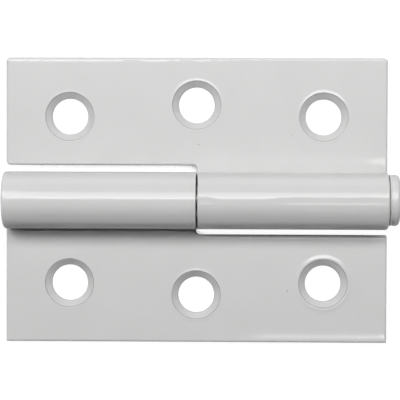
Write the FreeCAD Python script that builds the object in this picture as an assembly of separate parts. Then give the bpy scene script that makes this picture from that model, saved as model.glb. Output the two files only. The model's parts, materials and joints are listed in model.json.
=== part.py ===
import FreeCAD, Part
import math
import os

from FreeCAD import Vector

# Lift off hinge, laid open on its back. X runs along the pin, Y across the two leaves and
# Z away from the surface that the leaves screw to. The origin is the middle of the hinge's
# overall length, on that surface and under the pin. Sizes are in millimetres.

# Leaves: two like pieces of steel strip, one turned half a turn from the other
LEAF_LENGTH = 75.0
LEAF_REACH = 28.0  # pin axis to the outer edge of a leaf
SHEET = 2.0
OUTER_CORNER_RADIUS = 0.8
NOTCH_CORNER_RADIUS = 0.7
FRONT_EDGE_ROUND = 0.55  # roll of the blanking die, inside the knuckle too
BACK_EDGE_BREAK = 0.3  # small bevel, outside the knuckle too

# Knuckles: half of each leaf's inner edge, rolled round the pin
RUNNING_CLEARANCE = 0.06  # on the radius, pin to knuckle
KNUCKLE_GAP = 0.4  # between the two knuckles, along the pin
NOTCH_CLEARANCE = 1.3  # plain inner edge of a leaf to the other leaf's knuckle
SEAM_GAP = 0.3  # rolled end of the strip to the face of its own leaf

# Screw holes, countersunk from the front
HOLE_DIAMETER = 7.1
COUNTERSINK_DIAMETER = 9.7
COUNTERSINK_ANGLE = 90.0
COUNTERSINK_EDGE_BREAK = 0.12
SIDE_HOLE_TO_END = 12.5
SIDE_HOLE_TO_EDGE = 11.6
MIDDLE_HOLE_TO_EDGE = 9.3

# Pin, with a flat round head on the frame leaf's end
PIN_DIAMETER = 7.0
HEAD_OVERHANG = 1.5  # rim of the head beyond the shank
HEAD_THICKNESS = 1.9
HEAD_RIM_ROUND = 0.5
HEAD_CLEARANCE = 0.1  # under the head, to the end of the knuckle
TIP_INSET = 3.0  # tip of the pin inside the end of the door leaf's knuckle
TIP_TAPER_LENGTH = 2.0
TIP_TAPER_DEPTH = 0.8

# Sizes that follow
PIN_RADIUS = PIN_DIAMETER / 2
BORE_RADIUS = PIN_RADIUS + RUNNING_CLEARANCE
BARREL_RADIUS = BORE_RADIUS + SHEET
AXIS_HEIGHT = BARREL_RADIUS
NOTCH_REACH = BARREL_RADIUS + NOTCH_CLEARANCE
KNUCKLE_LENGTH = (LEAF_LENGTH - KNUCKLE_GAP) / 2
HEAD_RADIUS = PIN_RADIUS + HEAD_OVERHANG
LEAF_MIDDLE = -(HEAD_CLEARANCE + HEAD_THICKNESS) / 2
LEAF_END = LEAF_MIDDLE + LEAF_LENGTH / 2
KNUCKLE_START = LEAF_MIDDLE + KNUCKLE_GAP / 2
ALONG_PIN = Vector(1, 0, 0)
UPWARD = Vector(0, 0, 1)


def rounded_wire(corners):
    """Closed wire through (point, radius) corners; a corner with a radius is a right angle."""
    edges = []
    last_point = None
    first_point = None
    for index, (point, radius) in enumerate(corners):
        before = corners[index - 1][0]
        after = corners[(index + 1) % len(corners)][0]
        inward = (before - point).normalize() * radius
        onward = (after - point).normalize() * radius
        arrive = point + inward
        leave = point + onward
        if last_point is None:
            first_point = arrive
        else:
            edges.append(Part.makeLine(last_point, arrive))
        if radius > 0:
            halfway = point + (inward + onward) * (1 - math.sqrt(0.5))
            edges.append(Part.Arc(arrive, halfway, leave).toShape())
        last_point = leave
    edges.append(Part.makeLine(last_point, first_point))
    return Part.Wire(edges)


def edge_at(shape, point):
    """The edge of a shape that passes nearest to a point."""
    vertex = Part.Vertex(point)
    return min(shape.Edges, key=lambda edge: edge.distToShape(vertex)[0])


def leaf_blank():
    """Flat L-shaped strip with a tongue that reaches in as far as the pin axis."""
    far_end = LEAF_MIDDLE - LEAF_LENGTH / 2
    corners = [
        (Vector(LEAF_END, 0, 0), 0),
        (Vector(LEAF_END, LEAF_REACH, 0), OUTER_CORNER_RADIUS),
        (Vector(far_end, LEAF_REACH, 0), OUTER_CORNER_RADIUS),
        (Vector(far_end, NOTCH_REACH, 0), NOTCH_CORNER_RADIUS),
        (Vector(KNUCKLE_START, NOTCH_REACH, 0), NOTCH_CORNER_RADIUS),
        (Vector(KNUCKLE_START, 0, 0), 0),
    ]
    return Part.Face(rounded_wire(corners)).extrude(UPWARD * SHEET)


def point_on_curl(radius, angle):
    """Point in the knuckle's section, at an angle in degrees from the leaf's own side."""
    turn = math.radians(angle)
    across = radius * math.cos(turn)
    up = AXIS_HEIGHT + radius * math.sin(turn)
    return Vector(KNUCKLE_START, across, up)


def knuckle():
    """Strip rolled under, round and over the pin, back to just above its own leaf."""
    start = -90
    drop = (BARREL_RADIUS - SHEET - SEAM_GAP) / BARREL_RADIUS
    end = -360 - math.degrees(math.asin(drop))
    middle = (start + end) / 2
    outer = [point_on_curl(BARREL_RADIUS, angle) for angle in (start, middle, end)]
    inner = [point_on_curl(BORE_RADIUS, angle) for angle in (end, middle, start)]
    section = Part.Wire(
        [
            Part.Arc(*outer).toShape(),
            Part.makeLine(outer[-1], inner[0]),
            Part.Arc(*inner).toShape(),
            Part.makeLine(inner[-1], outer[0]),
        ]
    )
    return Part.Face(section).extrude(ALONG_PIN * KNUCKLE_LENGTH)


def hole_places():
    """Centres of a leaf's screw holes, on its back face."""
    side = LEAF_LENGTH / 2 - SIDE_HOLE_TO_END
    side_reach = LEAF_REACH - SIDE_HOLE_TO_EDGE
    middle_reach = LEAF_REACH - MIDDLE_HOLE_TO_EDGE
    return [
        Vector(LEAF_MIDDLE - side, side_reach, 0),
        Vector(LEAF_MIDDLE, middle_reach, 0),
        Vector(LEAF_MIDDLE + side, side_reach, 0),
    ]


def countersunk_hole(place):
    """Cutter for one screw hole: a clear hole and a cone that opens at the front face."""
    hole_radius = HOLE_DIAMETER / 2
    mouth_radius = COUNTERSINK_DIAMETER / 2
    depth = (mouth_radius - hole_radius) / math.tan(math.radians(COUNTERSINK_ANGLE / 2))
    clear_hole = Part.makeCylinder(hole_radius, SHEET, place)
    cone_foot = place + UPWARD * (SHEET - depth)
    cone = Part.makeCone(hole_radius, mouth_radius, depth, cone_foot)
    return clear_hole.fuse(cone)


def leaf():
    """One leaf with its knuckle, on the frame leaf's side of the pin."""
    body = leaf_blank().fuse(knuckle()).removeSplitter()
    outer_edge = Vector(LEAF_MIDDLE, LEAF_REACH, 0)
    body = body.makeFillet(FRONT_EDGE_ROUND, [edge_at(body, outer_edge + UPWARD * SHEET)])
    body = body.makeChamfer(BACK_EDGE_BREAK, [edge_at(body, outer_edge)])
    for place in hole_places():
        body = body.cut(countersunk_hole(place))
        lip = place + Vector(COUNTERSINK_DIAMETER / 2, 0, SHEET)
        body = body.makeChamfer(COUNTERSINK_EDGE_BREAK, [edge_at(body, lip)])
    return body.Solids[0]


def hinge_pin():
    """Headed pin through the frame leaf's knuckle and most of the door leaf's."""
    tip = LEAF_MIDDLE - LEAF_LENGTH / 2 + TIP_INSET
    head_under = LEAF_END + HEAD_CLEARANCE
    head_top = head_under + HEAD_THICKNESS
    profile = [
        (tip, 0, 0),
        (tip, PIN_RADIUS - TIP_TAPER_DEPTH, 0),
        (tip + TIP_TAPER_LENGTH, PIN_RADIUS, 0),
        (head_under, PIN_RADIUS, 0),
        (head_under, HEAD_RADIUS, 0),
        (head_top, HEAD_RADIUS, HEAD_RIM_ROUND),
        (head_top, 0, 0),
    ]
    corners = [(Vector(x, 0, AXIS_HEIGHT + out), radius) for x, out, radius in profile]
    on_axis = Vector(0, 0, AXIS_HEIGHT)
    return Part.Face(rounded_wire(corners)).revolve(on_axis, ALONG_PIN, 360)


def main():
    frame_leaf = leaf()
    door_leaf = frame_leaf.rotated(Vector(LEAF_MIDDLE, 0, 0), UPWARD, 180)
    nodes = {
        "frame_leaf": frame_leaf,
        "door_leaf": door_leaf,
        "hinge_pin": hinge_pin(),
    }
    os.makedirs("parts", exist_ok=True)
    for name, shape in nodes.items():
        shape.exportStep(f"parts/{name}.step")
        print(name, "valid", shape.isValid(), "solids", len(shape.Solids), "mm3", round(shape.Volume, 1))


main()
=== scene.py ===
import json
import math

import bmesh
import bpy
from mathutils import Matrix, Vector, noise
from mathutils.geometry import delaunay_2d_cdt


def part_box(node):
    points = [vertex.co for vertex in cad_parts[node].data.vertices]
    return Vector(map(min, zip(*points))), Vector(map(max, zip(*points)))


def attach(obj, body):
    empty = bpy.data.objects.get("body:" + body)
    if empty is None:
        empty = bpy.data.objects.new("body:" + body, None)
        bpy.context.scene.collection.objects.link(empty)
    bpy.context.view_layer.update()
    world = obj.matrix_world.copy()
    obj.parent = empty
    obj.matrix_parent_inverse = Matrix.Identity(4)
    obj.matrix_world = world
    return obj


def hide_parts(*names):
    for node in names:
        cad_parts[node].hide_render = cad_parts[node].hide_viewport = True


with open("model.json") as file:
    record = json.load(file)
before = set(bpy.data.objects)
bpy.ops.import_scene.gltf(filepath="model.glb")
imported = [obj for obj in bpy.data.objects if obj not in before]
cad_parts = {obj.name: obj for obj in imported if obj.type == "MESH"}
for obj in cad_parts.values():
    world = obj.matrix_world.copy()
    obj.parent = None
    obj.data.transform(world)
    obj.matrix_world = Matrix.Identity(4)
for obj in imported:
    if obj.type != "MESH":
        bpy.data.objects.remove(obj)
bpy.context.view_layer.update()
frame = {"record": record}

# Frame leaf
# An L-shaped blank of 2 mm steel strip, punched and countersunk for three screws. Its tongue is
# rolled under, round and over the pin, and the finished hinge is sprayed with white enamel.
MM = 0.001
sheet = 2.0 * MM
die_roll_width = 0.455 * MM
die_roll_depth = 0.36 * MM
back_round = 0.5 * MM
crisp_end = 0.8
corner_round = 0.8 * MM
least_round = 0.05 * MM
knuckle_gap = 0.06 * MM
notch_clearance = 1.3 * MM
seam_gap = 0.3 * MM
mouth_radius = 4.78 * MM
lip_crest = 0.15
shear_pivot = 0.4
outer_end_share = 0.55
knuckle_set_back = 0.32 * MM

# Spacing of the mesh: grid on the faces, finer on top of the knuckle, and close rows along each cut edge
grid_step = 0.45 * MM
fine_step = 0.1 * MM
edge_step = 0.22 * MM
edge_support = 0.12 * MM
edge_band = 0.77 * MM
grid_clearance = 0.6
hole_segments = 96

leaf_low, leaf_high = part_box("frame_leaf")
far_end, leaf_end = leaf_low.x, leaf_high.x
leaf_reach = leaf_high.y
leaf_middle = (far_end + leaf_end) / 2
barrel_radius = leaf_high.z / 2
knuckle_start = leaf_middle + knuckle_gap / 2
notch_reach = barrel_radius + notch_clearance
seam_drop = math.asin((barrel_radius - sheet - seam_gap) / barrel_radius)
tongue_end = -barrel_radius * (math.radians(270) + seam_drop)
mounts = {mount["name"]: mount for mount in frame["record"]["mounts"]}
side_screws = mounts["frame_leaf_side_screws"]
side_x, side_y, _ = side_screws["pos_m"]
half_spacing = side_screws["dims"]["spacing_x_mm"] / 2 * MM
hole_radius = side_screws["dims"]["hole_r_mm"] * MM
middle_x, middle_y, _ = mounts["frame_leaf_middle_screw"]["pos_m"]
holes = [
    Vector((side_x - half_spacing, side_y)),
    Vector((middle_x, middle_y)),
    Vector((side_x + half_spacing, side_y)),
]
blank_corners = [
    Vector((leaf_end, tongue_end)),
    Vector((leaf_end, leaf_reach)),
    Vector((far_end, leaf_reach)),
    Vector((far_end, notch_reach)),
    Vector((knuckle_start, notch_reach)),
    Vector((knuckle_start, tongue_end)),
]


def ramp(value, start, end):
    """0 before start, 1 after end, and a straight ramp between."""
    return min(max((value - start) / (end - start), 0), 1)


def smooth_step(value, start, end):
    """0 before start, 1 after end, and a soft ramp between."""
    share = ramp(value, start, end)
    return share * share * (3 - 2 * share)


def corner_arc(index, inset, outer_round):
    """Round of one corner of the blank, a set distance in from the cut edge."""
    steps = 6
    corner = blank_corners[index]
    at_leaf_end = corner.y == leaf_reach or corner.x == far_end
    full_round = outer_round if at_leaf_end else corner_round
    back = (blank_corners[index - 1] - corner).normalized()
    ahead = (blank_corners[(index + 1) % len(blank_corners)] - corner).normalized()
    sticks_out = ahead.cross(back) > 0
    bend = max(full_round - inset, least_round) if sticks_out else full_round + inset
    centre = corner + (back + ahead) * (bend + inset if sticks_out else full_round)
    turns = [math.radians(90 * step / steps) for step in range(steps + 1)]
    return [centre - (ahead * math.cos(turn) + back * math.sin(turn)) * bend for turn in turns]


def cut_edge(inset, outer_round):
    """The blank's outline, a set distance in from its cut edge."""
    arcs = [corner_arc(index, inset, outer_round) for index in range(len(blank_corners))]
    spots = []
    for index, arc in enumerate(arcs):
        following = (index + 1) % len(arcs)
        length = (blank_corners[following] - blank_corners[index]).length
        steps = round(length / edge_step)
        run = arcs[following][0] - arc[-1]
        spots.extend(arc)
        spots.extend(arc[-1] + run * (step / steps) for step in range(1, steps))
    return spots


def face_insets():
    """Distances in from the cut edge at which the face is followed, closest at the edge itself."""
    steps = 14
    crowding = 1.5
    return [edge_band * (1 - step / steps) ** crowding for step in range(steps + 1)]


def rolled_over(inset):
    """Height of the face near its cut edge, where the blanking die drew it down in a quarter ellipse."""
    share = max(1 - inset / die_roll_width, 0)
    return sheet - die_roll_depth * (1 - math.sqrt(1 - share * share))


def back_profile():
    """Section of the cut edge below the die roll as (inset, height): straight wall and eased back."""
    turns = [math.radians(degrees) for degrees in range(0, 91, 18)]
    profile = [(back_round * (1 - math.cos(turn)), back_round * (1 - math.sin(turn))) for turn in turns]
    profile.append((back_round + edge_support, 0))
    return profile


def hole_profile():
    """Section of a screw hole as (radius, height, painted shade): lip, 90 degree cone, throat, with shade
    painted as a dark line along the mouth and throat rims.
    """
    ease = 0.1 * MM
    mouth_shade = 1
    throat_shade = 0.7
    lip_rows = (1.2, 0.9, 0.7, 0.52, 0.38, 0.27, 0.18, 0.1)
    cone_rows = (0.12, 0.35, 0.65, 0.9)
    throat_height = sheet - (mouth_radius - hole_radius)
    profile = [(mouth_radius + row * MM, sheet, 0) for row in lip_rows]
    # Painted shade: the rows at the countersink's mouth carry a dark line along its rim.
    profile.append((mouth_radius + 0.3 * ease, sheet - 0.05 * ease, mouth_shade))
    profile.append((mouth_radius - 0.4 * ease, sheet - 0.5 * ease, mouth_shade))
    for share in cone_rows:
        radius = mouth_radius + (hole_radius - mouth_radius) * share
        profile.append((radius, sheet + (throat_height - sheet) * share, 0))
    # Painted shade: the rows at the throat's edge carry a dark line too.
    profile.append((hole_radius + 0.2 * ease, throat_height, throat_shade))
    profile.append((hole_radius, throat_height - ease, throat_shade))
    profile.append((hole_radius, 2 * ease, 0))
    profile.append((hole_radius + 0.3 * ease, 0.7 * ease, 0))
    profile.append((hole_radius + ease, 0, 0))
    return profile


def hole_ring(hole, radius):
    """Circle round a screw hole, the other way round from the outline."""
    turns = [-math.tau * step / hole_segments for step in range(hole_segments)]
    return [hole + Vector((math.cos(turn), math.sin(turn))) * radius for turn in turns]


def rolled(spot, height):
    """Place of a spot of the blank: flat beyond the pin's axis, wound round the pin short of it."""
    if spot.y >= 0:
        return Vector((spot.x, spot.y, height))
    turn = -spot.y / barrel_radius
    radius = barrel_radius - height
    return Vector((spot.x, -radius * math.sin(turn), barrel_radius - radius * math.cos(turn)))


def lip_swell(spot, lips):
    """Metal that the countersink pushed up round each screw hole, from (height, width) of each lip."""
    swell = 0
    for hole, (height, width) in zip(holes, lips):
        share = ((spot - hole).length - mouth_radius) / width
        swell += height * smooth_step(share, 0, lip_crest) * (1 - smooth_step(share, lip_crest, 1))
    return swell


def waviness(spot, length, seed):
    """Gentle hollows and humps of stamped strip, between -1 and 1."""
    return noise.noise(Vector((spot.x / length, spot.y / length, seed)))


def flat_waves(spot, seed):
    """Hollows and humps of a leaf's face, which die out towards the knuckle."""
    wave_height = 0.02 * MM
    wave_length = 9 * MM
    calm_near_root = (2 * MM, 6 * MM)
    off_root = smooth_step(spot.y - barrel_radius, *calm_near_root)
    return wave_height * waviness(spot, wave_length, seed) * off_root


def beside_notch(spot):
    """1 along the leaf's plain inner edge, where the shear left a leaning wall, fading to 0 inwards."""
    fade_inwards = (0.4 * MM, 2.5 * MM)
    fade_at_tongue = (-3 * MM, -1 * MM)
    near = 1 - smooth_step(spot.y - notch_reach, *fade_inwards)
    off_tongue = 1 - smooth_step(spot.x - knuckle_start, *fade_at_tongue)
    return near * off_tongue


def at_knuckle_gap(spot):
    """1 along the knuckle's inner end, which stands against the other knuckle, fading to 0 along the pin."""
    fade_along = (0.8 * MM, 3 * MM)
    fade_under = (0, 5 * MM)
    near = 1 - smooth_step(spot.x - knuckle_start, *fade_along)
    return near * smooth_step(-spot.y, *fade_under)


def set_back(spot, place):
    """Share of the set-back at the knuckle's ends: the inner one leans away on top, the outer is short."""
    fade_along = (0.3 * MM, 4 * MM)
    upper_part = (1.05 * barrel_radius, 1.5 * barrel_radius)
    fade_into_leaf = (3.9 * MM, 5.4 * MM)
    inner_end = 1 - smooth_step(spot.x - knuckle_start, *fade_along)
    outer_end = 1 - smooth_step(leaf_end - spot.x, *fade_along)
    at_top = smooth_step(place.z, *upper_part)
    on_knuckle = 1 - smooth_step(spot.y, *fade_into_leaf)
    return inner_end * at_top - outer_end_share * outer_end * on_knuckle


class Blank:
    """Mesh of a leaf in the making: spots on its flat blank, their rolled places, and faces."""

    def __init__(self, face_swell, back_swell, shear_lean, end_set_back):
        self.face_swell = face_swell
        self.back_swell = back_swell
        self.shear_lean = shear_lean
        self.end_set_back = end_set_back
        self.spots = []
        self.places = []
        self.rim_shade = []
        self.faces = []

    def ring(self, spots, heights, rim_shade=0):
        """Points over spots of the blank, each at its height above the back, rolled into place."""
        start = len(self.spots)
        for spot, height in zip(spots, heights):
            share = height / sheet
            swell = share * self.face_swell(spot) - (1 - share) * self.back_swell(spot)
            place = rolled(spot, height + swell)
            place.y += self.shear_lean * (share - shear_pivot) * beside_notch(spot)
            place.x += self.end_set_back * set_back(spot, place)
            self.spots.append(spot)
            self.places.append(place)
            self.rim_shade.append(rim_shade)
        return list(range(start, len(self.spots)))

    def level_ring(self, spots, height, rim_shade=0):
        """Points over spots of the blank, all at one height."""
        return self.ring(spots, [height] * len(spots), rim_shade)

    def band(self, outer, inner):
        """Faces between two rings with as many points."""
        for index in range(len(outer)):
            following = (index + 1) % len(outer)
            self.faces.append((outer[index], inner[index], inner[following], outer[following]))

    def sweep(self, rings):
        """Faces along a whole section, ring by ring."""
        for outer, inner in zip(rings, rings[1:]):
            self.band(outer, inner)

    def fill(self, loops, loose, face_up):
        """Faces inside an outline, round the holes' rims and through loose points."""
        closeness = 1e-9
        inside_outline = 1
        used = [index for loop in loops for index in loop] + loose
        edges = []
        start = 0
        for loop in loops:
            count = len(loop)
            edges.extend((start + step, start + (step + 1) % count) for step in range(count))
            start += count
        flat_spots = [self.spots[index] for index in used]
        filled = delaunay_2d_cdt(flat_spots, edges, [], inside_outline, closeness)
        origin = [used[sources[0]] for sources in filled[3]]
        rims = [set(loop) for loop in loops[1:]]
        for triangle in filled[2]:
            face = [origin[index] for index in triangle]
            over_hole = any(rim.issuperset(face) for rim in rims)
            if not over_hole:
                self.faces.append(face if face_up else face[::-1])


def field_rows():
    """Places of the grid's rows across the blank, close together along the top of the knuckle."""
    fine_from = 160
    fine_to = 200
    rows = []
    place = tongue_end
    while place < leaf_reach:
        rows.append(place)
        turn = math.degrees(-place / barrel_radius)
        place += fine_step if fine_from < turn < fine_to else grid_step
    return rows


def field_spots(edge_inset, hole_clear):
    """Grid of spots over the flat of the blank, clear of its edge and its holes."""
    margin = edge_inset + grid_clearance * edge_step
    hole_margin = hole_clear + grid_clearance * grid_step
    rows = field_rows()
    spots = []
    for column in range(round((leaf_end - far_end) / grid_step)):
        for row in rows:
            spot = Vector((far_end + column * grid_step, row))
            on_tongue = knuckle_start + margin < spot.x and tongue_end + margin < spot.y
            on_leaf = far_end + margin < spot.x and notch_reach + margin < spot.y
            inside = spot.x < leaf_end - margin and spot.y < leaf_reach - margin
            clear = all((spot - hole).length > hole_margin for hole in holes)
            if inside and clear and (on_tongue or on_leaf):
                spots.append(spot)
    return spots


def cut_edge_rings(blank, outer_round):
    """Rings down a leaf's cut edge: die roll, wall, and a back edge that is crisp at the knuckle gap."""
    rings = []
    for inset in face_insets():
        rings.append(blank.level_ring(cut_edge(inset, outer_round), rolled_over(inset)))
    eased_width = back_round + edge_support
    outer_line = cut_edge(0, outer_round)
    inner_line = cut_edge(eased_width, outer_round)
    ease = [1 - crisp_end * at_knuckle_gap(spot) for spot in outer_line]
    for inset, height in back_profile():
        reach = inset / eased_width
        spots = [outer.lerp(inner, reach * part) for outer, inner, part in zip(outer_line, inner_line, ease)]
        rings.append(blank.ring(spots, [height * part for part in ease]))
    return rings


def stamped_leaf(name, face_swell, back_swell, outer_round, shear_lean, end_set_back):
    """A leaf on the frame's side of the pin, with its edges rounded and its tongue rolled."""
    flat_within = math.radians(20)
    square_within = math.radians(40)
    blank = Blank(face_swell, back_swell, shear_lean, end_set_back)
    edge = cut_edge_rings(blank, outer_round)
    blank.sweep(edge)
    section = hole_profile()
    hole_rings = []
    for hole in holes:
        rings = [blank.level_ring(hole_ring(hole, radius), height, row_shade) for radius, height, row_shade in section]
        blank.sweep(rings)
        hole_rings.append(rings)
    face_field = blank.level_ring(field_spots(edge_band, section[0][0]), sheet)
    blank.fill([edge[0]] + [rings[0] for rings in hole_rings], face_field, True)
    back_field = blank.level_ring(field_spots(back_round + edge_support, section[-1][0]), 0)
    blank.fill([edge[-1]] + [rings[-1] for rings in hole_rings], back_field, False)
    mesh = bpy.data.meshes.new(name)
    mesh.from_pydata(blank.places, [], blank.faces)
    # Painted shade along the holes' rims and throats, kept on the points for the enamel.
    mesh.attributes.new("painted_rim_shade", "FLOAT", "POINT").data.foreach_set("value", blank.rim_shade)
    shaping = bmesh.new()
    shaping.from_mesh(mesh)
    bmesh.ops.join_triangles(
        shaping,
        faces=shaping.faces[:],
        angle_face_threshold=flat_within,
        angle_shape_threshold=square_within,
    )
    shaping.to_mesh(mesh)
    shaping.free()
    mesh.polygons.foreach_set("use_smooth", [True] * len(mesh.polygons))
    leaf = bpy.data.objects.new(name, mesh)
    bpy.context.scene.collection.objects.link(leaf)
    return leaf


def root_swell(spot):
    """The face rises a little where the strip starts to roll and dips to the seam, with a hump at its end."""
    rise_height = 0.07 * MM
    rise_fade = (0.9 * MM, 4 * MM)
    dip_depth = 0.12 * MM
    dip_fade = (-0.1 * MM, 0.95 * MM)
    hump_height = 0.07 * MM
    hump_fade = (0.5 * MM, 3.4 * MM)
    hump_start = (-7 * MM, -1 * MM)
    tongue_start = (-1 * MM, 2 * MM)
    from_root = spot.y - barrel_radius
    rise = 1 - smooth_step(from_root, *rise_fade)
    dip = 1 - smooth_step(from_root, *dip_fade)
    on_tongue = smooth_step(spot.x - knuckle_start, *tongue_start)
    hump = 1 - smooth_step(from_root, *hump_fade)
    at_end = smooth_step(spot.x - leaf_end, *hump_start)
    return (rise_height * rise - dip_depth * dip) * on_tongue + hump_height * hump * at_end


def edge_droop(spot):
    """Sag of the face along the far half of the outer edge, left by the shear in uneven stretches."""
    droop_depth = 0.033 * MM
    droop_start = (-0.72 * MM, -0.22 * MM)
    far_half = (3 * MM, 7 * MM)
    stretch_length = 0.9 * MM
    stretch_seed = 3.5
    stretch_edge = (-0.2, -0.12)
    droop = ramp(spot.y - leaf_reach, *droop_start)
    in_far_half = 1 - smooth_step(spot.x - leaf_middle, *far_half)
    stretch = smooth_step(waviness(Vector((spot.x, 0)), stretch_length, stretch_seed), *stretch_edge)
    return droop_depth * droop * in_far_half * stretch


frame_lips = ((0.012 * MM, 0.5 * MM), (0.022 * MM, 0.55 * MM), (0.027 * MM, 0.6 * MM))
frame_face_seed = 1.5


def frame_face_swell(spot):
    """Face of the frame leaf: lips, swollen root, waves and a drooping edge."""
    if spot.y < 0:
        return 0
    lips = lip_swell(spot, frame_lips)
    return lips + root_swell(spot) + flat_waves(spot, frame_face_seed) - edge_droop(spot)


def frame_back_swell(spot):
    """Outside of the knuckle: a lap mark of the rolling die along its top, and slight waves."""
    lap_depth = 0.067 * MM
    shoulder_depth = 0.012 * MM
    shoulder_turn = (150, 168)
    near_turn = (173.3, 178.3)
    far_turn = (183, 190.5)
    weakening = 0.85
    weak_from = (0.06, 0.12)
    weak_to = (0.3, 0.5)
    wave_height = 0.005 * MM
    wave_length = 7 * MM
    wave_seed = 4.5
    calm_turn = (200, 240)
    if spot.y > 0:
        return 0
    turn = math.degrees(-spot.y / barrel_radius)
    near_side = shoulder_depth * smooth_step(turn, *shoulder_turn)
    near_side += (lap_depth - shoulder_depth) * smooth_step(turn, *near_turn)
    far_side = lap_depth * ramp(turn, *far_turn)
    along = (spot.x - knuckle_start) / (leaf_end - knuckle_start)
    strength = 1 - weakening * smooth_step(along, *weak_from) * (1 - smooth_step(along, *weak_to))
    waves = wave_height * waviness(spot, wave_length, wave_seed) * (1 - smooth_step(turn, *calm_turn))
    return (far_side - near_side) * strength + waves


frame_leaf = stamped_leaf(
    "frame_leaf_painted",
    frame_face_swell,
    frame_back_swell,
    outer_round=corner_round,
    shear_lean=0,
    end_set_back=knuckle_set_back,
)

enamel_colour = (0.65, 0.65, 0.647, 1)
enamel_roughness = 0.13
enamel_ior = 1.5
film_relief = 0.003 * MM


def new_node(tree, kind, **settings):
    """A shader node with its settings made."""
    made = tree.nodes.new(kind)
    for name, value in settings.items():
        setattr(made, name, value)
    return made


def noise_node(tree, place, scale, detail):
    """Noise over the object's own coordinates, so many waves to the metre."""
    made = new_node(tree, "ShaderNodeTexNoise")
    made.inputs["Scale"].default_value = scale
    made.inputs["Detail"].default_value = detail
    tree.links.new(place, made.inputs["Vector"])
    return made


def remapped(tree, value, low, high):
    """A 0 to 1 value spread between two ends."""
    made = new_node(tree, "ShaderNodeMapRange")
    made.inputs["To Min"].default_value = low
    made.inputs["To Max"].default_value = high
    tree.links.new(value, made.inputs["Value"])
    return made.outputs["Result"]


def math_node(tree, operation, first, second):
    """Arithmetic on two sockets or numbers."""
    made = new_node(tree, "ShaderNodeMath", operation=operation)
    for socket, value in zip(made.inputs, (first, second)):
        if isinstance(value, (int, float)):
            socket.default_value = value
        else:
            tree.links.new(value, socket)
    return made.outputs["Value"]


def sprayed_enamel_group():
    """Sprayed paint: faint mottling, orange peel, a few pinholes and shade painted where the mesh marks it,
    over the object's own coordinates.
    """
    mottle_scale = 140
    mottle_shades = (0.97, 1.03)
    peel_scale = 900
    grit_scale = 3200
    grit_relief = 0.12
    grit_dulling = 0.03
    pinhole_scale = 210
    pinhole_share = 0.55
    pinhole_inner = 0.02
    pinhole_outer = 0.05
    pinhole_dark = 0.35
    pinhole_depth = 6
    rim_darkening_range = (0.2, 0.6)
    tree = bpy.data.node_groups.new("sprayed_enamel", "ShaderNodeTree")
    tree.interface.new_socket("Paint", in_out="INPUT", socket_type="NodeSocketColor")
    tree.interface.new_socket("Gloss Roughness", in_out="INPUT", socket_type="NodeSocketFloat")
    tree.interface.new_socket("Painted Rim Shade", in_out="INPUT", socket_type="NodeSocketFloat")
    tree.interface.new_socket("Colour", in_out="OUTPUT", socket_type="NodeSocketColor")
    tree.interface.new_socket("Roughness", in_out="OUTPUT", socket_type="NodeSocketFloat")
    tree.interface.new_socket("Height", in_out="OUTPUT", socket_type="NodeSocketFloat")
    inlet = new_node(tree, "NodeGroupInput")
    outlet = new_node(tree, "NodeGroupOutput")
    place = new_node(tree, "ShaderNodeTexCoord").outputs["Object"]
    mottle = noise_node(tree, place, mottle_scale, 3).outputs["Fac"]
    peel = noise_node(tree, place, peel_scale, 1).outputs["Fac"]
    grit = noise_node(tree, place, grit_scale, 2).outputs["Fac"]
    cells = new_node(tree, "ShaderNodeTexVoronoi")
    cells.inputs["Scale"].default_value = pinhole_scale
    tree.links.new(place, cells.inputs["Vector"])
    chosen = new_node(tree, "ShaderNodeSeparateColor")
    tree.links.new(cells.outputs["Color"], chosen.inputs["Color"])
    rare = math_node(tree, "GREATER_THAN", chosen.outputs["Red"], pinhole_share)
    dot = new_node(tree, "ShaderNodeMapRange", interpolation_type="SMOOTHSTEP")
    dot.inputs["From Min"].default_value = pinhole_inner
    dot.inputs["From Max"].default_value = pinhole_outer
    dot.inputs["To Min"].default_value = 1
    dot.inputs["To Max"].default_value = 0
    tree.links.new(cells.outputs["Distance"], dot.inputs["Value"])
    pinhole = math_node(tree, "MULTIPLY", rare, dot.outputs["Result"])
    # Painted shade: darkening where the mesh marks the holes' rims and throats, varied by the mottle.
    painted_rim_darkening = math_node(tree, "MULTIPLY", inlet.outputs["Painted Rim Shade"], remapped(tree, mottle, *rim_darkening_range))
    pinholes_and_rim_shade = math_node(tree, "ADD", math_node(tree, "MULTIPLY", pinhole, pinhole_dark), painted_rim_darkening)
    shade = math_node(tree, "SUBTRACT", remapped(tree, mottle, *mottle_shades), pinholes_and_rim_shade)
    tint = new_node(tree, "ShaderNodeVectorMath", operation="SCALE")
    tree.links.new(inlet.outputs["Paint"], tint.inputs[0])
    tree.links.new(shade, tint.inputs["Scale"])
    tree.links.new(tint.outputs["Vector"], outlet.inputs["Colour"])
    dulling = remapped(tree, grit, -grit_dulling, grit_dulling)
    roughness = math_node(tree, "ADD", inlet.outputs["Gloss Roughness"], dulling)
    tree.links.new(roughness, outlet.inputs["Roughness"])
    film = math_node(tree, "ADD", peel, math_node(tree, "MULTIPLY", grit, grit_relief))
    pits = math_node(tree, "MULTIPLY", pinhole, pinhole_depth)
    tree.links.new(math_node(tree, "SUBTRACT", film, pits), outlet.inputs["Height"])
    return tree


sprayed_enamel = sprayed_enamel_group()


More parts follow.
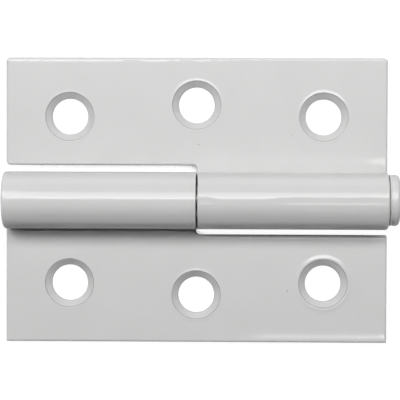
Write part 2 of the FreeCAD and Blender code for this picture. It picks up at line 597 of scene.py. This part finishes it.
def white_enamel_material():
    """White semi-gloss enamel on steel."""
    material = bpy.data.materials.new("white_enamel")
    material.use_nodes = True
    tree = material.node_tree
    surface = tree.nodes["Principled BSDF"]
    enamel = new_node(tree, "ShaderNodeGroup", node_tree=sprayed_enamel)
    enamel.inputs["Paint"].default_value = enamel_colour
    enamel.inputs["Gloss Roughness"].default_value = enamel_roughness
    # The mesh's painted shade along the holes' rims and throats.
    painted_rim_shade = new_node(tree, "ShaderNodeAttribute", attribute_name="painted_rim_shade")
    tree.links.new(painted_rim_shade.outputs["Fac"], enamel.inputs["Painted Rim Shade"])
    relief = new_node(tree, "ShaderNodeBump")
    relief.inputs["Distance"].default_value = film_relief
    surface.inputs["IOR"].default_value = enamel_ior
    tree.links.new(enamel.outputs["Colour"], surface.inputs["Base Color"])
    tree.links.new(enamel.outputs["Roughness"], surface.inputs["Roughness"])
    tree.links.new(enamel.outputs["Height"], relief.inputs["Height"])
    tree.links.new(relief.outputs["Normal"], surface.inputs["Normal"])
    return material


white_enamel = white_enamel_material()
frame_leaf.data.materials.append(white_enamel)
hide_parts("frame_leaf")
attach(frame_leaf, "frame_leaf")

# Hinge pin
# A drawn steel pin with a cold-headed round head. It fills the frame leaf's knuckle and stands out of
# it into the door leaf's. Its head takes the paint. The shank's bare steel is darkened as painted shade
# for the gap between the knuckles, and mottled with grease.
pin_low, pin_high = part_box("hinge_pin")
pin_radius = 3.5 * MM
head_thickness = 2.07 * MM
head_aside = 0.2 * MM
taper_length = 2.0 * MM
taper_depth = 0.8 * MM
head_radius = (pin_high.y - pin_low.y) / 2
head_under = pin_high.x - head_thickness
tip_radius = pin_radius - taper_depth
shank_length = head_under - pin_low.x
taper_end = pin_low.x + taper_length
pin_segments = 96

# Rounds as millimetres along the pin and out from the nearest plain radius
tip_round = ((0, -0.25), (0.08, -0.08), (0.25, 0.05))
taper_round = ((-0.2, -0.06), (0.2, 0))
shank_shares = (0.33, 0.66)
fillet_round = ((-0.1, 0), (0, 0.1))
collar_and_groove = (
    (0, -0.3),
    (0.05, -0.1),
    (0.16, -0.02),
    (0.28, -0.01),
    (0.4, -0.1),
    (0.52, -0.12),
    (0.68, -0.05),
    (0.95, 0),
)
crown_round = ((-0.7, -0.03), (-0.45, -0.12), (-0.24, -0.3), (-0.11, -0.55), (-0.06, -0.9))
crown_rise = 0.03 * MM


def placed_round(points, start, radius):
    """Points of a round, from its place along the pin and the plain radius beside it."""
    return [(start + along * MM, radius + out * MM) for along, out in points]


pin_profile = [(pin_low.x, 0), (pin_low.x, 0.5 * pin_radius)]
pin_profile += placed_round(tip_round, pin_low.x, tip_radius)
pin_profile += placed_round(taper_round, taper_end, pin_radius)
pin_profile += [(pin_low.x + share * shank_length, pin_radius) for share in shank_shares]
pin_profile += placed_round(fillet_round, head_under, pin_radius)
pin_profile += placed_round(collar_and_groove, head_under, head_radius)
pin_profile += placed_round(crown_round, pin_high.x, head_radius)
pin_profile += [(pin_high.x - crown_rise, 0.5 * head_radius), (pin_high.x, 0)]


def turned_pin(name, profile, axis_height):
    """The pin about its axis, from (place along the axis, radius) points, its head a little to one side."""
    shaping = bmesh.new()
    rings = []
    for along, radius in profile:
        count = pin_segments if radius > 0 else 1
        turns = [math.tau * step / pin_segments for step in range(count)]
        aside = head_aside if along >= head_under else 0
        ring = []
        for turn in turns:
            place = (along, aside + radius * math.cos(turn), axis_height + radius * math.sin(turn))
            ring.append(shaping.verts.new(place))
        rings.append(ring)
    for ring, following in zip(rings, rings[1:]):
        for step in range(pin_segments):
            ahead = (step + 1) % pin_segments
            corners = [ring[step % len(ring)], ring[ahead % len(ring)]]
            corners += [following[ahead % len(following)], following[step % len(following)]]
            shaping.faces.new(list(dict.fromkeys(corners)))
    bmesh.ops.recalc_face_normals(shaping, faces=shaping.faces[:])
    mesh = bpy.data.meshes.new(name)
    shaping.to_mesh(mesh)
    shaping.free()
    mesh.polygons.foreach_set("use_smooth", [True] * len(mesh.polygons))
    piece = bpy.data.objects.new(name, mesh)
    bpy.context.scene.collection.objects.link(piece)
    return piece


hinge_pin = turned_pin("hinge_pin_steel", pin_profile, barrel_radius)

# Painted shade: both steel tones are darkened so the shank looks shaded in the knuckle gap; the mix between
# them is grease mottling.
grease_and_shade_dark_steel = (0.16, 0.155, 0.15, 1)
shade_darkened_steel = (0.4, 0.39, 0.375, 1)
head_roughness = 0.24


def mixed_colour(tree, share, first, second):
    """Two colours or sockets, mixed by a mask."""
    colour_inputs = (6, 7)
    colour_output = 2
    made = new_node(tree, "ShaderNodeMix", data_type="RGBA")
    tree.links.new(share, made.inputs["Factor"])
    for index, value in zip(colour_inputs, (first, second)):
        if isinstance(value, tuple):
            made.inputs[index].default_value = value
        else:
            tree.links.new(value, made.inputs[index])
    return made.outputs[colour_output]


def mixed_value(tree, share, first, second):
    """Two values, mixed by a mask."""
    rest = math_node(tree, "SUBTRACT", 1.0, share)
    first_part = math_node(tree, "MULTIPLY", rest, first)
    second_part = math_node(tree, "MULTIPLY", share, second)
    return math_node(tree, "ADD", first_part, second_part)


def pin_material():
    """Drawn steel with lines along the shank, darkened as painted shade for the knuckle gap, and the leaves'
    enamel on the head.
    """
    paint_start = head_under - 0.15 * MM
    paint_full = head_under - 0.02 * MM
    drawn_stretch = (0.03, 1, 1)
    drawn_scale = 5200
    grease_scale = 260
    steel_roughness = (0.3, 0.5)
    material = bpy.data.materials.new("pin_steel")
    material.use_nodes = True
    tree = material.node_tree
    surface = tree.nodes["Principled BSDF"]
    place = new_node(tree, "ShaderNodeTexCoord").outputs["Object"]
    parts = new_node(tree, "ShaderNodeSeparateXYZ")
    tree.links.new(place, parts.inputs["Vector"])
    painted = new_node(tree, "ShaderNodeMapRange", interpolation_type="SMOOTHSTEP")
    painted.inputs["From Min"].default_value = paint_start
    painted.inputs["From Max"].default_value = paint_full
    tree.links.new(parts.outputs["X"], painted.inputs["Value"])
    on_head = painted.outputs["Result"]
    stretch = new_node(tree, "ShaderNodeVectorMath", operation="MULTIPLY")
    stretch.inputs[1].default_value = drawn_stretch
    tree.links.new(place, stretch.inputs[0])
    drawn = noise_node(tree, stretch.outputs["Vector"], drawn_scale, 3).outputs["Fac"]
    grease = noise_node(tree, place, grease_scale, 3).outputs["Fac"]
    steel = mixed_colour(tree, grease, grease_and_shade_dark_steel, shade_darkened_steel)
    enamel = new_node(tree, "ShaderNodeGroup", node_tree=sprayed_enamel)
    enamel.inputs["Paint"].default_value = enamel_colour
    enamel.inputs["Gloss Roughness"].default_value = head_roughness
    tree.links.new(mixed_colour(tree, on_head, steel, enamel.outputs["Colour"]), surface.inputs["Base Color"])
    tree.links.new(math_node(tree, "SUBTRACT", 1.0, on_head), surface.inputs["Metallic"])
    shank_roughness = remapped(tree, grease, *steel_roughness)
    roughness = mixed_value(tree, on_head, shank_roughness, enamel.outputs["Roughness"])
    tree.links.new(roughness, surface.inputs["Roughness"])
    surface.inputs["IOR"].default_value = enamel_ior
    relief = new_node(tree, "ShaderNodeBump")
    relief.inputs["Distance"].default_value = film_relief
    tree.links.new(mixed_value(tree, on_head, drawn, enamel.outputs["Height"]), relief.inputs["Height"])
    tree.links.new(relief.outputs["Normal"], surface.inputs["Normal"])
    return material


hinge_pin.data.materials.append(pin_material())
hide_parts("hinge_pin")
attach(hinge_pin, "pin")

# Door leaf
# The same stamping as the frame leaf, turned half a turn so that its knuckle stands end to end with
# the other. It turns on the pin and lifts off it, and differs only in its own small unevenness.
crisp_corner = 0.15 * MM
notch_lean = 0.36 * MM
door_lips = ((0.1 * MM, 1.2 * MM), (0.045 * MM, 0.6 * MM), (0.02 * MM, 0.5 * MM))
door_face_seed = 7.5
half_turn = (
    Matrix.Translation((leaf_middle, 0, 0))
    @ Matrix.Rotation(math.pi, 4, "Z")
    @ Matrix.Translation((-leaf_middle, 0, 0))
)


def edge_curl(spot):
    """Rise of the face along half of the outer edge, which the shear left curled up."""
    curl_height = 0.185 * MM
    curl_start = (-2.2 * MM, -0.3 * MM)
    curled_half = (-14 * MM, -4 * MM)
    curl = smooth_step(spot.y - leaf_reach, *curl_start)
    in_curled_half = 1 - smooth_step(spot.x - leaf_middle, *curled_half)
    return curl_height * curl * in_curled_half


def door_face_swell(spot):
    """Face of the door leaf: lips, swollen root, waves and a curled edge."""
    if spot.y < 0:
        return 0
    lips = lip_swell(spot, door_lips)
    return lips + root_swell(spot) + flat_waves(spot, door_face_seed) + edge_curl(spot)


def door_back_swell(spot):
    """Outside of the knuckle: slight waves from rolling."""
    wave_height = 0.012 * MM
    wave_length = 7 * MM
    wave_seed = 9.5
    if spot.y > 0:
        return 0
    return wave_height * waviness(spot, wave_length, wave_seed)


door_leaf = stamped_leaf(
    "door_leaf_painted",
    door_face_swell,
    door_back_swell,
    outer_round=crisp_corner,
    shear_lean=notch_lean,
    end_set_back=0,
)
door_leaf.data.transform(half_turn)
door_leaf.data.materials.append(white_enamel)
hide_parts("door_leaf")
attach(door_leaf, "door_leaf")

# Studio
# A white table under a panel of three strips, two lamps, a window to the left and a dark ceiling, in a
# white surround. The camera looks straight down from about a third of a metre, a little off the middle.
floor_half = 20.0
floor_drop = 0.01 * MM
floor_mesh = bpy.data.meshes.new("table")
floor_mesh.from_pydata(
    [(x, y, -floor_drop) for x, y in ((-1, -1), (1, -1), (1, 1), (-1, 1))], [], [(0, 1, 2, 3)]
)
floor_mesh.transform(Matrix.Diagonal((floor_half, floor_half, 1, 1)))
floor = bpy.data.objects.new("table", floor_mesh)
bpy.context.scene.collection.objects.link(floor)


def seen_directly(tree):
    """1 for what the camera sees, also in gloss and through glass, and 0 for light in the room."""
    path = new_node(tree, "ShaderNodeLightPath")
    by_eye_or_gloss = math_node(tree, "MAXIMUM", path.outputs["Is Camera Ray"], path.outputs["Is Glossy Ray"])
    return math_node(tree, "MAXIMUM", by_eye_or_gloss, path.outputs["Is Transmission Ray"])


def table_material():
    """White to the eye and in gloss, with a painted shadow close to the hinge, and a grey matt table to the
    light.
    """
    shadow_reach = 20 * MM
    dark_below = 0.05
    white_above = 0.12
    white_above_in_gloss = 0.9
    white_glow = 0.97
    thin_shadow_grey = (0.08, 0.08, 0.08, 1)
    matt_grey = (0.2, 0.2, 0.2, 1)
    material = bpy.data.materials.new("white_table")
    material.use_nodes = True
    tree = material.node_tree
    tree.nodes.remove(tree.nodes["Principled BSDF"])
    # Painted shadow: the table's glow is dimmed where the hinge closes it in, and further out in gloss, as a
    # contact shadow and its reflection.
    openness = new_node(tree, "ShaderNodeAmbientOcclusion", samples=16)
    openness.inputs["Distance"].default_value = shadow_reach
    path = new_node(tree, "ShaderNodeLightPath")
    white_from = remapped(tree, path.outputs["Is Glossy Ray"], white_above, white_above_in_gloss)
    painted_shadow_glow = new_node(tree, "ShaderNodeMapRange", interpolation_type="SMOOTHSTEP")
    painted_shadow_glow.inputs["From Min"].default_value = dark_below
    painted_shadow_glow.inputs["To Max"].default_value = white_glow
    tree.links.new(white_from, painted_shadow_glow.inputs["From Max"])
    tree.links.new(openness.outputs["AO"], painted_shadow_glow.inputs["Value"])
    glow = new_node(tree, "ShaderNodeEmission")
    tree.links.new(painted_shadow_glow.outputs["Result"], glow.inputs["Strength"])
    thin_shadow = new_node(tree, "ShaderNodeBsdfDiffuse")
    thin_shadow.inputs["Color"].default_value = thin_shadow_grey
    matt = new_node(tree, "ShaderNodeBsdfDiffuse")
    matt.inputs["Color"].default_value = matt_grey
    bright = new_node(tree, "ShaderNodeAddShader")
    tree.links.new(glow.outputs["Emission"], bright.inputs[0])
    tree.links.new(thin_shadow.outputs["BSDF"], bright.inputs[1])
    choice = new_node(tree, "ShaderNodeMixShader")
    tree.links.new(seen_directly(tree), choice.inputs["Fac"])
    tree.links.new(matt.outputs["BSDF"], choice.inputs[1])
    tree.links.new(bright.outputs["Shader"], choice.inputs[2])
    tree.links.new(choice.outputs["Shader"], tree.nodes["Material Output"].inputs["Surface"])
    return material


floor_mesh.materials.append(table_material())


def white_surround():
    """White to the eye, and a weak even light from all round."""
    ambient = 0.01
    world = bpy.data.worlds.new("surround")
    world.use_nodes = True
    tree = world.node_tree
    background = tree.nodes["Background"]
    background.inputs["Color"].default_value = (1, 1, 1, 1)
    strength = remapped(tree, seen_directly(tree), ambient, 1)
    tree.links.new(strength, background.inputs["Strength"])
    return world


bpy.context.scene.world = white_surround()


def softbox(name, place, target, width, depth, brightness):
    """A flat soft light at a place, facing a target, of a set brightness over its whole face."""
    lamp = bpy.data.lights.new(name, "AREA")
    lamp.shape = "RECTANGLE"
    lamp.size = width
    lamp.size_y = depth
    lamp.energy = math.pi * width * depth * brightness
    stand = bpy.data.objects.new(name, lamp)
    stand.location = place
    stand.rotation_euler = (Vector(target) - Vector(place)).to_track_quat("-Z", "Y").to_euler()
    stand.visible_camera = False
    bpy.context.scene.collection.objects.link(stand)


panel_height = 0.9
panel_width = 0.56
panel_edges = (0.122, 0.195, 0.4, 0.613)
panel_brightness = (8.4, 4.15, 2.85)
for near, far, brightness in zip(panel_edges, panel_edges[1:], panel_brightness):
    middle = (near + far) / 2
    softbox("panel", (0, middle, panel_height), (0, middle, 0), panel_width, far - near, brightness)

lamp_height = 0.33
lamp_width = 0.14
left_x, left_y, left_depth, left_brightness = -0.17, 0.175, 0.13, 12.1
right_x, right_y, right_depth, right_brightness = 0.17, 0.16, 0.16, 9.5
left_place = (left_x, left_y, lamp_height)
right_place = (right_x, right_y, lamp_height)
softbox("left_lamp", left_place, (left_x, left_y, 0), lamp_width, left_depth, left_brightness)
softbox("right_lamp", right_place, (right_x, right_y, 0), lamp_width, right_depth, right_brightness)

window_place = (-0.648, 0.236, 0.579)
window_side = 0.285
window_brightness = 3.7
softbox("window", window_place, (0, 0, 0), window_side, window_side, window_brightness)

ceiling_half = 3
ceiling_height = 1
ceiling_grey = (0.03, 0.03, 0.03, 1)
ceiling_roughness = 0.9
ceiling_corners = [
    (x * ceiling_half, y * ceiling_half, ceiling_height) for x, y in ((-1, -1), (-1, 1), (1, 1), (1, -1))
]
ceiling_mesh = bpy.data.meshes.new("dark_ceiling")
ceiling_mesh.from_pydata(ceiling_corners, [], [(0, 1, 2, 3)])
dark_matt = bpy.data.materials.new("dark_ceiling")
dark_matt.use_nodes = True
dark_surface = dark_matt.node_tree.nodes["Principled BSDF"]
dark_surface.inputs["Base Color"].default_value = ceiling_grey
dark_surface.inputs["Roughness"].default_value = ceiling_roughness
ceiling_mesh.materials.append(dark_matt)
ceiling = bpy.data.objects.new("dark_ceiling", ceiling_mesh)
ceiling.visible_camera = False
bpy.context.scene.collection.objects.link(ceiling)

camera_place = Vector((5.0, 8.4, 331.0)) * MM
camera_turn = (-0.0254, 0.0161, 0.0040)
camera_lens = 150.4
camera = bpy.data.objects.new("camera", bpy.data.cameras.new("camera"))
camera.location = camera_place
camera.rotation_mode = "ZYX"
camera.rotation_euler = camera_turn
camera.data.lens = camera_lens
bpy.context.scene.collection.objects.link(camera)
bpy.context.scene.camera = camera
bpy.context.scene.view_settings.view_transform = "Standard"
